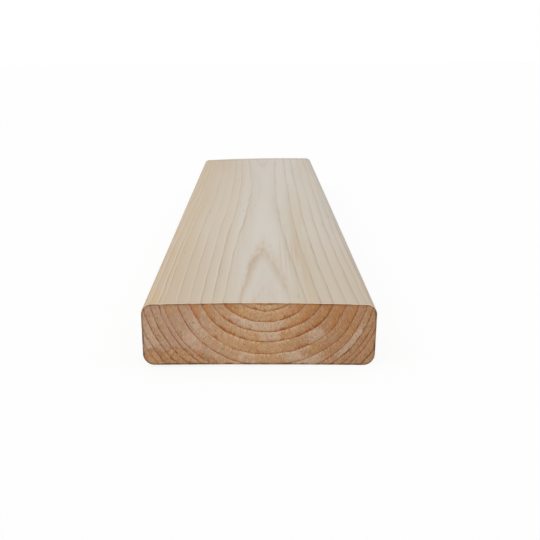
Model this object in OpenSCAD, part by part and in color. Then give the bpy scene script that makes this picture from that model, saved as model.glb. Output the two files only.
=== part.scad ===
// Planed softwood plank with eased long edges and square sawn ends.
// The plank lies on its wide face: X runs across it, Y along the grain and Z up.
// The origin is at the middle of the underside.

/* [Plank] */
// Length along the grain, from sawn end to sawn end
plank_length = 900; // [300:50:2400]
// Width of the two wide faces
plank_width = 140; // [60:1:250]
// Thickness between the two wide faces
plank_thickness = 38; // [19:0.5:75]

/* [Eased edges] */
// Radius of the two long edges along the top face
upper_edge_radius = 6; // [1:0.5:9]
// Radius of the two long edges along the underside
lower_edge_radius = 7; // [1:0.5:9]

/* [Hidden] */

// Each cutter's corner stands this far outside the sawn blank, so that it cuts clean through
cutter_overrun = 2;
half_width = plank_width / 2;
$fn = 96;

// What a moulding cutter takes off one long edge: the corner outside a quarter circle.
// The cutter's centre is at the origin and the edge it eases points to +X +Y.
module edge_waste(radius) {
    difference() {
        square(radius + cutter_overrun);
        circle(r = radius);
    }
}

// The cross-section, with the underside on the X axis
module section() {
    difference() {
        translate([-half_width, 0]) square([plank_width, plank_thickness]);
        for (side = [0, 1]) mirror([side, 0]) {
            translate([half_width - upper_edge_radius, plank_thickness - upper_edge_radius])
                edge_waste(upper_edge_radius);
            translate([half_width - lower_edge_radius, lower_edge_radius])
                mirror([0, 1]) edge_waste(lower_edge_radius);
        }
    }
}

// The plank is one piece of timber: the section, run along the grain
module plank() {
    color("#d9c8a9")
        rotate([90, 0, 0])
            linear_extrude(height = plank_length, center = true)
                section();
}

plank();
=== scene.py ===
# %% [markdown]
# This lesson dresses one length of planed softwood: a plank of rectangular section with rounded
# long edges, sawn square at both ends. Its plain solid is already packed as a fixed frame, which
# the script may hide and stand in for, but never move. Everything below works in that frame:
# X across the plank, Y along the grain and Z up, in metres.

# %% Load the frame
import math

import bpy
import numpy as np
from mathutils import Matrix, Vector


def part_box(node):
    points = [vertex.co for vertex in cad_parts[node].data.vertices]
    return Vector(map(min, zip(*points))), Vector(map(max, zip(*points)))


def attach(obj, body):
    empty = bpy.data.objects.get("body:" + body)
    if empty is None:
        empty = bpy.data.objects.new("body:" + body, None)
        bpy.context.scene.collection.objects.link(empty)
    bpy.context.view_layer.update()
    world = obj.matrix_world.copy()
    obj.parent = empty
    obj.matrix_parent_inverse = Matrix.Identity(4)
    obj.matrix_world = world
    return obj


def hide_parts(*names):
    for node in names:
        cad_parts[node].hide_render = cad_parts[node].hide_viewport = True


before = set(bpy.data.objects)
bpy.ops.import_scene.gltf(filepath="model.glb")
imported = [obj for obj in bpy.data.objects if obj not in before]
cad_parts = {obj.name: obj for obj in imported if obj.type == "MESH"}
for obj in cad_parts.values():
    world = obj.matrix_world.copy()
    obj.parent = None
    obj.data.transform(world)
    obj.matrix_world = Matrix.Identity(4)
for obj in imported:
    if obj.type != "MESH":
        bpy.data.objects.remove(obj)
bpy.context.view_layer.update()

# %% [markdown]
# The plank's sizes could be typed in again, but then they might drift away from the solid. They
# are measured on the frame instead, in millimetres, because a joiner thinks in millimetres. The
# radius of a rounded edge is what is missing from the flat of the wide face beside it.

# %% Measure the plank
MM = 0.001
FLAT_TOLERANCE = 0.01
frame_points = np.array([vertex.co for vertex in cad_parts["plank"].data.vertices]) / MM
high = np.array(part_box("plank")[1]) / MM
half_width, half_length, thickness = high


def flat_reach(level):
    """How far the flat of the wide face at this height reaches from the middle of the plank."""
    on_level = np.abs(frame_points[:, 2] - level) < FLAT_TOLERANCE
    return frame_points[on_level, 0].max()


upper_reach = flat_reach(thickness)
lower_reach = flat_reach(0.0)
upper_radius = half_width - upper_reach
lower_radius = half_width - lower_reach
print(f"plank {2 * half_width:.1f} x {thickness:.1f} x {2 * half_length:.1f} mm,"
      f" edges rounded {upper_radius:.1f} mm above and {lower_radius:.1f} mm below")

# %% [markdown]
# A photographer would stand at the near end, a little above the plank, with a short telephoto
# lens, so that the sawn end fills the front and the long top face runs away from it. The camera
# could be aimed with a constraint. Here its three angles are given instead, because that leaves
# nothing to be worked out later.

# %% Camera
IMAGE_SIZE = 540
SENSOR_WIDTH = 36.0
FOCAL_PIXELS = 1204.0
CAMERA_FROM_NEAR_END = 693.4
CAMERA_HEIGHT = 189.1
CAMERA_ASIDE = 0.7
PITCH_DOWN = math.radians(10.692)
YAW_RIGHT = math.radians(0.513)
ROLL = math.radians(-0.389)

camera_data = bpy.data.cameras.new("Camera")
camera_data.sensor_width = SENSOR_WIDTH
camera_data.lens = FOCAL_PIXELS / IMAGE_SIZE * SENSOR_WIDTH
camera = bpy.data.objects.new("Camera", camera_data)
camera_turn = (
    Matrix.Rotation(-YAW_RIGHT, 4, "Z")
    @ Matrix.Rotation(math.pi / 2 - PITCH_DOWN, 4, "X")
    @ Matrix.Rotation(ROLL, 4, "Z")
)
camera_place = Vector((CAMERA_ASIDE, -half_length - CAMERA_FROM_NEAR_END, CAMERA_HEIGHT)) * MM
camera.matrix_world = Matrix.Translation(camera_place) @ camera_turn
bpy.context.scene.collection.objects.link(camera)
bpy.context.scene.camera = camera
print(f"lens {camera_data.lens:.1f} mm, camera {CAMERA_FROM_NEAR_END:.0f} mm from the near end")

# %% [markdown]
# Shader nodes are often wired by hand, one link at a time, and the sums get lost among the links.
# This small helper keeps the sums readable: a Wire is a value on its way between two nodes, and
# arithmetic on a Wire adds the Math node that works it out.


# %% Wires between nodes
def plug(tree, value, socket):
    """Links a wire to a socket, or sets a plain number or colour on it."""
    if isinstance(value, Wire):
        tree.links.new(value.socket, socket)
    else:
        socket.default_value = value


class Wire:
    """A value on its way between two shader nodes."""

    def __init__(self, tree, socket):
        self.tree = tree
        self.socket = socket

    def through(self, kind, *others, operation=None, output=0):
        """Adds a node of this kind that takes this wire and the others, and gives its output."""
        node = self.tree.nodes.new(kind)
        if operation:
            node.operation = operation
        for socket, value in zip(node.inputs, (self, *others)):
            plug(self.tree, value, socket)
        return Wire(self.tree, node.outputs[output])

    def maths(self, operation, *others):
        return self.through("ShaderNodeMath", *others, operation=operation)

    def __add__(self, other):
        return self.maths("ADD", other)

    def __sub__(self, other):
        return self.maths("SUBTRACT", other)

    def __mul__(self, other):
        return self.maths("MULTIPLY", other)

    def split(self):
        """The three numbers of a vector wire."""
        node = self.tree.nodes.new("ShaderNodeSeparateXYZ")
        plug(self.tree, self, node.inputs[0])
        return [Wire(self.tree, output) for output in node.outputs]

    def dot(self, vector):
        return self.through("ShaderNodeVectorMath", vector, operation="DOT_PRODUCT", output="Value")

    def length(self):
        return self.through("ShaderNodeVectorMath", operation="LENGTH", output="Value")

    def in_units_of(self, sizes):
        """A place vector, counted in these sizes along X, Y and Z."""
        return self.through("ShaderNodeVectorMath", sizes, operation="DIVIDE")


def joined(x, y, z):
    """A vector wire from three numbers, of which the first is a wire."""
    return x.through("ShaderNodeCombineXYZ", y, z)


print("wires are ready")

# %% [markdown]
# Three more tools come back in every material: a smooth step from one value to another, a curve
# of straight runs through given points, and cloudy noise. Each is one node, so each is a short
# function.


# %% Steps, curves and noise
def eased(wire, start, end, to_start=0.0, to_end=1.0):
    """Goes smoothly from to_start to to_end while the wire goes from start to end."""
    node = wire.tree.nodes.new("ShaderNodeMapRange")
    node.interpolation_type = "SMOOTHSTEP"
    for label, value in zip(("Value", "From Min", "From Max", "To Min", "To Max"),
                            (wire, start, end, to_start, to_end)):
        plug(wire.tree, value, node.inputs[label])
    return Wire(wire.tree, node.outputs["Result"])


def along_curve(wire, places, values):
    """Reads a curve of straight runs that has these values at these places."""
    node = wire.tree.nodes.new("ShaderNodeFloatCurve")
    line = node.mapping.curves[0]
    start, reach, height = places[0], places[-1] - places[0], max(values)
    stops = [((place - start) / reach, value / height) for place, value in zip(places, values)]
    line.points[0].location = stops[0]
    line.points[1].location = stops[-1]
    for stop in stops[1:-1]:
        line.points.new(*stop)
    for point in line.points:
        point.handle_type = "VECTOR"
    node.mapping.update()
    plug(wire.tree, (wire - start) * (1 / reach), node.inputs["Value"])
    return Wire(wire.tree, node.outputs["Value"]) * height


def noise(place, detail=2.0, roughness=0.5):
    """Cloudy noise from 0 to 1, with clouds about one unit of the place vector across."""
    node = place.tree.nodes.new("ShaderNodeTexNoise")
    plug(place.tree, place, node.inputs["Vector"])
    node.inputs["Scale"].default_value = 1.0
    node.inputs["Detail"].default_value = detail
    node.inputs["Roughness"].default_value = roughness
    return Wire(place.tree, node.outputs["Fac"])


MOST_NOISE = (0.35, 0.65)  # noise is seldom below the first of these or above the second
print("steps, curves and noise are ready")

# %% [markdown]
# An effect that several materials share is a node group with named sockets. The group is built
# once, and each material places it with its own inputs.


# %% Node groups
NUMBER = "NodeSocketFloat"
VECTOR = "NodeSocketVector"


def new_group(name, takes, gives):
    """An empty node group, and wires from its inputs."""
    tree = bpy.data.node_groups.new(name, "ShaderNodeTree")
    for label, kind in takes.items():
        tree.interface.new_socket(label, in_out="INPUT", socket_type=kind)
    for label in gives:
        tree.interface.new_socket(label, in_out="OUTPUT", socket_type=NUMBER)
    entry = tree.nodes.new("NodeGroupInput")
    return tree, [Wire(tree, entry.outputs[label]) for label in takes]


def give(tree, **results):
    """Ends a group by linking its results to the outputs of those names."""
    last = tree.nodes.new("NodeGroupOutput")
    for label, wire in results.items():
        plug(tree, wire, last.inputs[label])


def placed(group, **takes):
    """Places a group in the tree that its input wires belong to, and gives its outputs by name."""
    tree = next(iter(takes.values())).tree
    node = tree.nodes.new("ShaderNodeGroup")
    node.node_tree = group
    for label, value in takes.items():
        plug(tree, value, node.inputs[label])
    return {output.name: Wire(tree, output) for output in node.outputs}


print("groups are ready")

# %% [markdown]
# A tree lays down one ring of wood each year round its pith, the centre of the stem. The lines on
# a plank are where its faces cut those rings: arcs on the sawn ends, long lines on the sides and
# pointed arches on the wide face nearest the pith. Lines could be painted on each face, but they
# would never meet at the edges. So the rings are a solid field here: every point of the plank
# knows how far it lies from the pith, and each face shows what it cuts. The pith runs just above
# this plank's top face, bowed a little along the grain. Rings are never quite round, so each has a
# radius straight down, one to the left and one to the right. The youngest rings come to a soft
# point below the pith, which is why the arches on the top face are pointed too.

# %% The growth rings as numbers
PITH_X = 4.9
PITH_SWAY = 1.5
PITH_SWAY_LENGTH = 1000.0
PITH_ABOVE_TOP = 28.4
PITH_CREST_Y = 110.0
PITH_BOW = 3.0e-5
INNER_RINGS = [  # radius straight down, to the left and to the right, and how bold the line is
    (13.5, 14.0, 13.0, 0.6),
    (18.9, 20.3, 19.6, 0.3),
    (22.4, 23.3, 23.1, 1.0),
    (30.2, 30.6, 29.6, 0.8),
    (36.1, 36.4, 37.0, 1.0),
    (42.2, 42.4, 43.9, 1.0),
    (49.8, 49.1, 51.2, 0.7),
    (56.9, 56.0, 58.3, 0.9),
    (63.8, 63.6, 63.1, 0.7),
    (67.0, 66.3, 67.4, 0.9),
    (71.0, 71.0, 70.6, 0.9),
    (74.6, 75.4, 73.0, 0.9),
    (79.0, 80.0, 78.3, 0.9),
]
OUTER_RING_STEP = 4.3
OUTER_RINGS = [(INNER_RINGS[-1][0] + OUTER_RING_STEP * count,) * 3 + (0.9,) for count in range(1, 7)]
DOWN_RADII, LEFT_RADII, RIGHT_RADII, BOLDNESS = (list(row) for row in zip(*INNER_RINGS, *OUTER_RINGS))
SIDE_FROM = 0.1
SIDE_FULL = 1.05
OVAL = 0.9
POINT_HEIGHT = 1.5
POINT_REACH = 6.0
POINT_ROUND = 1.5
POINTED_TO = 24.0
ROUND_FROM = 30.0
WANDER = [  # height of each wave, its lengths along X, Y and Z, and where it starts
    (0.22, (140, 520, 120), 0.6),
    (0.12, (60, 260, 75), 2.2),
    (0.06, (31, 118, 37), 4.1),
]


def smooth_step(value, start, end):
    share = np.clip((value - start) / (end - start), 0.0, 1.0)
    return share * share * (3 - 2 * share)


def ring_year(x, y, z):
    """The year in which the wood at these points grew, counted from the first ring."""
    across = x - PITH_X - PITH_SWAY * np.sin(2 * np.pi * y / PITH_SWAY_LENGTH)
    below = thickness + PITH_ABOVE_TOP - PITH_BOW * (y - PITH_CREST_Y) ** 2 - z
    angle = np.arctan2(across, below)
    straight = np.hypot(across, below)
    point = POINT_HEIGHT * np.exp(-np.hypot(across, POINT_ROUND) / POINT_REACH)
    distance = straight - OVAL * np.sin(2 * angle) ** 2
    distance -= point * smooth_step(straight, ROUND_FROM, POINTED_TO)
    for height, (long_x, long_y, long_z), start in WANDER:
        distance += height * np.sin(2 * np.pi * (x / long_x + y / long_y + z / long_z) + start)
    years = np.arange(len(DOWN_RADII))
    down, left, right = (np.interp(distance, radii, years)
                         for radii in (DOWN_RADII, LEFT_RADII, RIGHT_RADII))
    leftward = smooth_step(-angle, SIDE_FROM, SIDE_FULL)
    rightward = smooth_step(angle, SIDE_FROM, SIDE_FULL)
    return down + (left - down) * leftward + (right - down) * rightward


near_years = ring_year(np.array([0.0, half_width]), -half_length, np.array([thickness, 0.0]))
print(f"{len(DOWN_RADII)} rings; the near end cuts years {near_years[0]:.1f} to {near_years[1]:.1f}")

# %% [markdown]
# The same sums now go into a node group. Each ring is pale where it grew fast in spring, slowly
# darkens, and ends in a thin hard line of late wood. Some years left a bolder line than others,
# and every line is broken up a little along its way. One dry summer left a false ring, a second
# line inside one year, which only shows near the far end. A noise texture could stand for rings,
# but its lines never have that one sharp side.

# %% Growth rings as a node group
TREMOR = 1.2
TREMOR_SIZE = (8.0, 42.0, 8.0)
UNEVEN_TURN = 0.16
UNEVEN_LENGTH = 160.0
UNEVEN_NOISE = (0.32, 0.64)
UNEVEN_SHARES = (0.5, 1.15)
DASH_LENGTH = 1.8
DASH_ALONG = 60.0
DASH_NOISE = (0.3, 0.62)
DASH_SHARES = (0.5, 1.2)
RING_STEP = 3.7
LINE_OUTSIDE = 0.3
LINE_CORE = 0.25
FALSE_RING = 2
FALSE_PHASE = 0.37
FALSE_HALF_WIDTH = 0.1
FALSE_FROM_Y = 180.0
FALSE_FULL_Y = 340.0


def from_pith(position):
    """The direction of a point from the pith, and its distance by the way that the rings run."""
    x, y, z = position.split()
    from_crest = y - PITH_CREST_Y
    across = x - PITH_X - (y * (2 * math.pi / PITH_SWAY_LENGTH)).maths("SINE") * PITH_SWAY
    below = from_crest * from_crest * -PITH_BOW - z + (thickness + PITH_ABOVE_TOP)
    angle = across.maths("ARCTAN2", below)
    straight = (across * across + below * below).maths("SQRT")
    beside = (across * across + POINT_ROUND ** 2).maths("SQRT")
    point = (beside * (-1 / POINT_REACH)).maths("EXPONENT") * POINT_HEIGHT
    distance = straight - (angle * 2.0).maths("SINE").maths("POWER", 2.0) * OVAL
    distance -= point * eased(straight, ROUND_FROM, POINTED_TO)
    for height, lengths, start in WANDER:
        turns = [2 * math.pi / length for length in lengths]
        distance += (position.dot(turns) + start).maths("SINE") * height
    distance += (noise(position.in_units_of(TREMOR_SIZE)) - 0.5) * TREMOR
    return angle, distance


def growth_rings_group():
    takes = {"Position": VECTOR, "LineWidth": NUMBER}
    gives = ["Angle", "Distance", "Ring", "Phase", "FromLine", "ToLine", "Bold", "Line", "FalseRing"]
    tree, (position, line_width) = new_group("GrowthRings", takes, gives)
    y = position.split()[1]
    angle, distance = from_pith(position)
    years = list(range(len(DOWN_RADII)))
    down, left, right = (along_curve(distance, radii, years)
                         for radii in (DOWN_RADII, LEFT_RADII, RIGHT_RADII))
    leftward = eased(angle, -SIDE_FROM, -SIDE_FULL)
    rightward = eased(angle, SIDE_FROM, SIDE_FULL)
    year = down + (left - down) * leftward + (right - down) * rightward
    ring = year.maths("FLOOR")
    phase = year.maths("FRACT")
    widths = [after - before for before, after in zip(DOWN_RADII, DOWN_RADII[1:])]
    width = along_curve(ring, years, widths + widths[-1:])
    from_line = phase * width
    to_line = width - from_line
    nearest = (year + 0.5).maths("FLOOR")
    own_layer = nearest * RING_STEP
    place_on_line = joined(angle * (1 / UNEVEN_TURN), own_layer, y * (1 / UNEVEN_LENGTH))
    uneven = eased(noise(place_on_line, detail=3.0), *UNEVEN_NOISE, *UNEVEN_SHARES)
    place_on_dash = joined(angle * distance * (1 / DASH_LENGTH), own_layer, y * (1 / DASH_ALONG))
    dashes = eased(noise(place_on_dash), *DASH_NOISE, *DASH_SHARES)
    bold = along_curve(nearest, years, BOLDNESS) * uneven
    line = eased(to_line, line_width, line_width * LINE_CORE)
    line = line.maths("MAXIMUM", eased(from_line, LINE_OUTSIDE, 0.0))
    from_false = (phase - FALSE_PHASE).maths("ABSOLUTE")
    false_line = eased(from_false, FALSE_HALF_WIDTH, 0.0) * ring.maths("COMPARE", FALSE_RING, 0.5)
    false_line *= eased(y, FALSE_FROM_Y, FALSE_FULL_Y)
    line = (line * bold * dashes).maths("MAXIMUM", false_line)
    give(tree, Angle=angle, Distance=distance, Ring=ring, Phase=phase, FromLine=from_line,
         ToLine=to_line, Bold=bold, Line=line, FalseRing=false_line)
    return tree


growth_rings = growth_rings_group()
print("ring group has", len(growth_rings.nodes), "nodes")

# %% [markdown]
# Under the rings, wood is a bundle of fine tubes along the grain. Stretched noise gives both
# sides of that: long streaks on the faces, and small specks where the saw cut across the tubes.
# Resin canals are the odd wider tubes, seen as dark dots on the ends and short dashes on the
# faces. A solid, stretched cell pattern places them, and a number of each cell's own leaves many
# of them out.

# %% Fibres and resin canals
FINE_LENGTH = 70.0
COARSE_FIBRE = (2.4, 260.0, 2.4)
CANAL_SPACING = (2.7, 36.0, 2.7)
CANAL_REACH = 0.28


def fibres_group():
    takes = {"Position": VECTOR, "FibreWidth": NUMBER, "CanalsLeftOut": NUMBER}
    tree, (position, width, left_out) = new_group("Fibres", takes, ["Fine", "Coarse", "Canals"])
    fine = noise(position.in_units_of(joined(width, FINE_LENGTH, width)), detail=2.0, roughness=0.6)
    coarse = noise(position.in_units_of(COARSE_FIBRE), detail=3.0, roughness=0.55)
    cells = tree.nodes.new("ShaderNodeTexVoronoi")
    cells.inputs["Scale"].default_value = 1.0
    plug(tree, position.in_units_of(CANAL_SPACING), cells.inputs["Vector"])
    own_number = Wire(tree, cells.outputs["Color"]).split()[0]
    shown = own_number.maths("GREATER_THAN", left_out)
    canals = eased(Wire(tree, cells.outputs["Distance"]), CANAL_REACH, CANAL_REACH / 3) * shown
    give(tree, Fine=fine, Coarse=coarse, Canals=canals)
    return tree


fibres = fibres_group()
print("fibre group has", len(fibres.nodes), "nodes")

# %% [markdown]
# Resin soaks inwards from the hard line of some years and not of others, so the wood has warm
# patches that hug the rings and end in ragged fingers, and other years stay dry and pale. Chance
# alone would scatter them evenly, but a stem gathers resin where it was hurt or leaned, so the
# pockets that show at the near end are listed one by one: the ring that each lies in, its direction
# from the pith, how wide it spreads and how deep it goes. Further along the grain they fade, and
# noise over the year and the direction takes over. Finer noise along the ring frays every front.

# %% Resin pockets and dry bands
RESIN_POCKETS = [  # ring, direction from straight down in degrees, half its width, depth in millimetres
    (1, -15, 40, 0.9),
    (2, -44, 21, 8.0),
    (2, 36, 28, 8.0),
    (3, 47, 38, 8.5),
    (3, 17, 9, 3.2),
    (3, -8, 14, 1.2),
    (4, -56, 16, 8.0),
    (4, -31, 11, 5.5),
    (4, 0, 22, 2.0),
    (4, 28, 14, 4.2),
    (4, 46, 18, 5.0),
    (4, 60, 14, 8.0),
    (5, -62, 12, 9.0),
    (5, 12, 18, 1.2),
    (5, 59, 20, 9.0),
    (6, 63, 16, 7.5),
    (7, -39, 9, 3.0),
    (7, 57, 14, 4.0),
]
DRY_BANDS = [  # ring, direction from straight down in degrees, half its width, how pale
    (3, -10, 44, 1.2),
    (4, 6, 30, 0.8),
    (5, 34, 14, 0.8),
    (6, 18, 24, 1.0),
    (6, -14, 16, 0.5),
    (6, -52, 18, 0.7),
    (7, 24, 18, 1.0),
    (7, -47, 12, 1.0),
    (8, 52, 30, 1.0),
    (10, -60, 12, 0.6),
    (11, -60, 12, 1.2),
    (12, -60, 10, 1.5),
]
POCKETS_FADE_Y = (-250.0, 150.0)


def strongest(ring, angle, places):
    """The value of the strongest of these places, each in one ring and round one direction."""
    most = None
    for number, direction, half_width_there, value in places:
        off = (angle - math.radians(direction)).maths("ABSOLUTE")
        reach = math.radians(half_width_there)
        there = eased(off, reach, 0.0, 0.0, value) * ring.maths("COMPARE", number, 0.5)
        most = most.maths("MAXIMUM", there) if most else there
    return most


print(len(RESIN_POCKETS), "resin pockets and", len(DRY_BANDS), "dry bands")

# %% [markdown]
# The group that uses them also gives the wood its slow tints, year by year, and broad clouds right
# across the rings. It gives out the noise that frays the fronts as well, so that a material can
# fray its own finer marks of resin in the same way.

# %% Resin, tints and clouds
RESIN_TURN = 0.30
RESIN_LENGTH = 420.0
RESIN_DRY = 0.48
RESIN_SOAKED = 0.72
RESIN_DEPTH = 4.0
RESIN_FRONT = (-0.4, 2.8)
RESIN_HALO = 1.2
FINGER_WIDTH = 0.9
FINGER_LENGTH = 3.5
FINGER_ALONG = 6.0
FINGER_REACH = 2.0
FINGER_ROOT = 0.2
HALO_FINGERS = (0.3, 0.7)
TINT_TURN = 0.22
TINT_START = 40.0
CLOUD_SIZE = (22.0, 330.0, 22.0)


def soaking_group():
    takes = {"Position": VECTOR, "Angle": NUMBER, "Distance": NUMBER, "Ring": NUMBER, "ToLine": NUMBER}
    tree, (position, angle, distance, ring, to_line) = new_group(
        "Soaking", takes, ["Resin", "Dry", "Fray", "Tint", "Cloud"])
    y = position.split()[1]
    along = y * (1 / RESIN_LENGTH)
    patch = noise(joined(angle * (1 / RESIN_TURN), ring * RING_STEP, along), detail=2.0)
    by_chance = eased(patch, RESIN_DRY, RESIN_SOAKED, 0.0, RESIN_DEPTH)
    near = eased(y, *POCKETS_FADE_Y, 1.0, 0.0)
    far = eased(y, *POCKETS_FADE_Y)
    along_ring = angle * distance * (1 / FINGER_WIDTH)
    across_ring = distance * (1 / FINGER_LENGTH)
    fingers = noise(joined(along_ring, across_ring, along * FINGER_ALONG), detail=3.0)
    soaked = (strongest(ring, angle, RESIN_POCKETS) * near).maths("MAXIMUM", by_chance * far)
    pocket = eased(soaked * (fingers * FINGER_REACH - FINGER_ROOT) - to_line, *RESIN_FRONT)
    halo = eased(to_line, RESIN_HALO, 0.0) * eased(fingers, *HALO_FINGERS)
    dry = strongest(ring, angle, DRY_BANDS) * near
    tint = noise(joined(angle * (1 / TINT_TURN), ring * RING_STEP + TINT_START, along), detail=3.0)
    cloud = noise(position.in_units_of(CLOUD_SIZE), detail=2.0)
    give(tree, Resin=pocket.maths("MAXIMUM", halo), Dry=dry, Fray=fingers, Tint=tint, Cloud=cloud)
    return tree


soaking = soaking_group()


def soaking_at(position, rings):
    """Places the soaking group with what it has to know about the rings."""
    known = {label: rings[label] for label in ("Angle", "Distance", "Ring", "ToLine")}
    return placed(soaking, Position=position, **known)


print("soaking group has", len(soaking.nodes), "nodes")

# %% [markdown]
# Edges of a plank wear first: the long edges take dirt and knocks. The sawn ends have a thin dark
# rim, partly where the saw scorched and tore the last fibres and partly painted shade. Blender can
# find edges by pointiness, but that depends on how fine the mesh is. This group works out the
# distances to the ends and to the section's outline instead. It takes the place that a point had
# on the plank while it was still green and true, before drying moved it, which the mesh will carry
# along as an attribute.

# %% Distances to the edges
mean_radius = (upper_radius + lower_radius) / 2


def edges_group():
    tree, (position,) = new_group("Edges", {"Position": VECTOR}, ["ToEnd", "ToOutline"])
    x, y, z = position.split()
    to_end = y.maths("ABSOLUTE") * -1.0 + half_length
    past_x = x.maths("ABSOLUTE") - (half_width - mean_radius)
    past_z = (z - thickness / 2).maths("ABSOLUTE") - (thickness / 2 - mean_radius)
    out_x = past_x.maths("MAXIMUM", 0.0)
    out_z = past_z.maths("MAXIMUM", 0.0)
    round_part = (out_x * out_x + out_z * out_z).maths("SQRT")
    flat_part = past_x.maths("MAXIMUM", past_z).maths("MINIMUM", 0.0)
    give(tree, ToEnd=to_end, ToOutline=(round_part + flat_part) * -1.0 + mean_radius)
    return tree


edges = edges_group()
print("edge group has", len(edges.nodes), "nodes")

# %% [markdown]
# Colours are written the way a screen shows them, from 0 to 255, and turned into the linear
# numbers that Blender mixes. A colour that is mixed or shaded is one node, as before. The look of
# a face is a stack of such layers over a ground, much as a painter would glaze it.


# %% Colour tools
def screen(red, green, blue):
    """A screen colour as the linear colour that Blender works in."""
    shares = np.array([red, green, blue]) / 255
    linear = np.where(shares <= 0.04045, shares / 12.92, ((shares + 0.055) / 1.055) ** 2.4)
    return (*linear.tolist(), 1.0)


def mixed(share, first, second):
    """The first colour where share is 0 and the second where it is 1."""
    node = share.tree.nodes.new("ShaderNodeMix")
    node.data_type = "RGBA"
    sockets = {socket.identifier: socket for socket in node.inputs}
    plug(share.tree, share, sockets["Factor_Float"])
    plug(share.tree, first, sockets["A_Color"])
    plug(share.tree, second, sockets["B_Color"])
    result = next(socket for socket in node.outputs if socket.identifier == "Result_Color")
    return Wire(share.tree, result)


def layered(colour, *layers):
    """A colour with others laid over it in turn, each given as its share and the colour itself."""
    for share, over in layers:
        colour = mixed(share, colour, over)
    return colour


def shaded(colour, strength):
    """A colour made lighter or darker by a wire that is 1 where it stays."""
    node = colour.tree.nodes.new("ShaderNodeVectorMath")
    node.operation = "SCALE"
    plug(colour.tree, colour, node.inputs[0])
    plug(colour.tree, strength, node.inputs["Scale"])
    return Wire(colour.tree, node.outputs[0])


GREEN_PLACE = "green_place"


def new_wood(name, gloss):
    """A material with its shader, and the place on the plank in millimetres, now and while green."""
    material = bpy.data.materials.new(name)
    material.use_nodes = True
    tree = material.node_tree
    shader = tree.nodes["Principled BSDF"]
    shader.inputs["Specular IOR Level"].default_value = gloss
    place = Wire(tree, tree.nodes.new("ShaderNodeTexCoord").outputs["Object"])
    carried = tree.nodes.new("ShaderNodeAttribute")
    carried.attribute_name = GREEN_PLACE
    green_place = Wire(tree, carried.outputs["Vector"])
    return material, shader, place.in_units_of((MM, MM, MM)), green_place.in_units_of((MM, MM, MM))


def raise_surface(shader, height):
    """Bumps a shader's surface by a height in millimetres."""
    tree = height.tree
    bump = tree.nodes.new("ShaderNodeBump")
    bump.inputs["Distance"].default_value = MM
    plug(tree, height, bump.inputs["Height"])
    tree.links.new(bump.outputs["Normal"], shader.inputs["Normal"])


print("colour tools are ready")

# %% [markdown]
# The planed faces are pale and quiet. The ground of the top is cool along the middle, straw and then
# warm to the left, and tan, pale and grey to the right. A plain gradient could do that, but its
# borders would be straight. Here the border of each tint drifts with the broad clouds in the wood.
# The sun has yellowed the near end, and less so its middle. The narrow sides are plainly warm. A
# pair of places below says where a tint starts and where it is full.

# %% Ground of the planed faces
FACE_COOL = screen(207, 200, 189)
FACE_STRAW = screen(204, 192, 174)
FACE_WARM = screen(201, 184, 160)
FACE_TAN = screen(197, 182, 158)
FACE_PALE = screen(202, 193, 178)
FACE_GREY = screen(193, 185, 172)
FACE_ROSE = screen(205, 190, 176)
FACE_SUNNED = screen(196, 176, 148)
FACE_DRIFT = 45.0
STRAW_X = (2.0, -28.0)
WARM_X = (-28.0, -58.0)
TAN_X = (10.0, 26.0)
TAN_Y = (300.0, -250.0)
PALE_X = (34.0, 46.0)
GREY_X = (48.0, 66.0)
TOP_Z = (30.0, 34.0)
RIGHT_SIDE_X = (30.0, 60.0)
SIDE_WARMTH = 0.7
TAN_STREAKS = (0.6, 1.2)
ROSE_TINT = (0.5, 0.7)
ROSE_SHARE = 0.4
SUN_FROM_END = (300.0, 30.0)
SUN_ASIDE = (14.0, 50.0)
SUN_SHARES = (0.12, 0.5)
SHELTER_X = (-20.0, 30.0)
SHELTER_Y = (0.0, 300.0)
SHELTERED = 0.15


def face_ground(position, tubes, soak, edge):
    """The colour of a planed face before any wear and lines."""
    x, y, z = position.split()
    drift = x + (soak["Cloud"] - 0.5) * FACE_DRIFT
    streaks = eased(tubes["Coarse"], *MOST_NOISE, *TAN_STREAKS)
    sunned = eased(edge["ToEnd"], *SUN_FROM_END)
    sunned *= eased(drift.maths("ABSOLUTE"), *SUN_ASIDE, *SUN_SHARES)
    shelter = eased(y, *SHELTER_Y, 1.0, eased(x, *SHELTER_X, 1.0, SHELTERED))
    return layered(
        FACE_COOL,
        (eased(drift, *STRAW_X), FACE_STRAW),
        (eased(drift, *WARM_X), FACE_WARM),
        (eased(drift, *TAN_X) * eased(y, *TAN_Y) * streaks, FACE_TAN),
        (eased(drift, *PALE_X), FACE_PALE),
        (eased(drift, *GREY_X), FACE_GREY),
        (eased(z, *TOP_Z, SIDE_WARMTH, 0.0) * eased(x, *RIGHT_SIDE_X), FACE_WARM),
        (eased(soak["Tint"], *ROSE_TINT) * ROSE_SHARE, FACE_ROSE),
        (sunned * shelter, FACE_SUNNED),
    )


print(f"the tints of the planed faces drift by up to {FACE_DRIFT / 2:.1f} mm")
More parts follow.
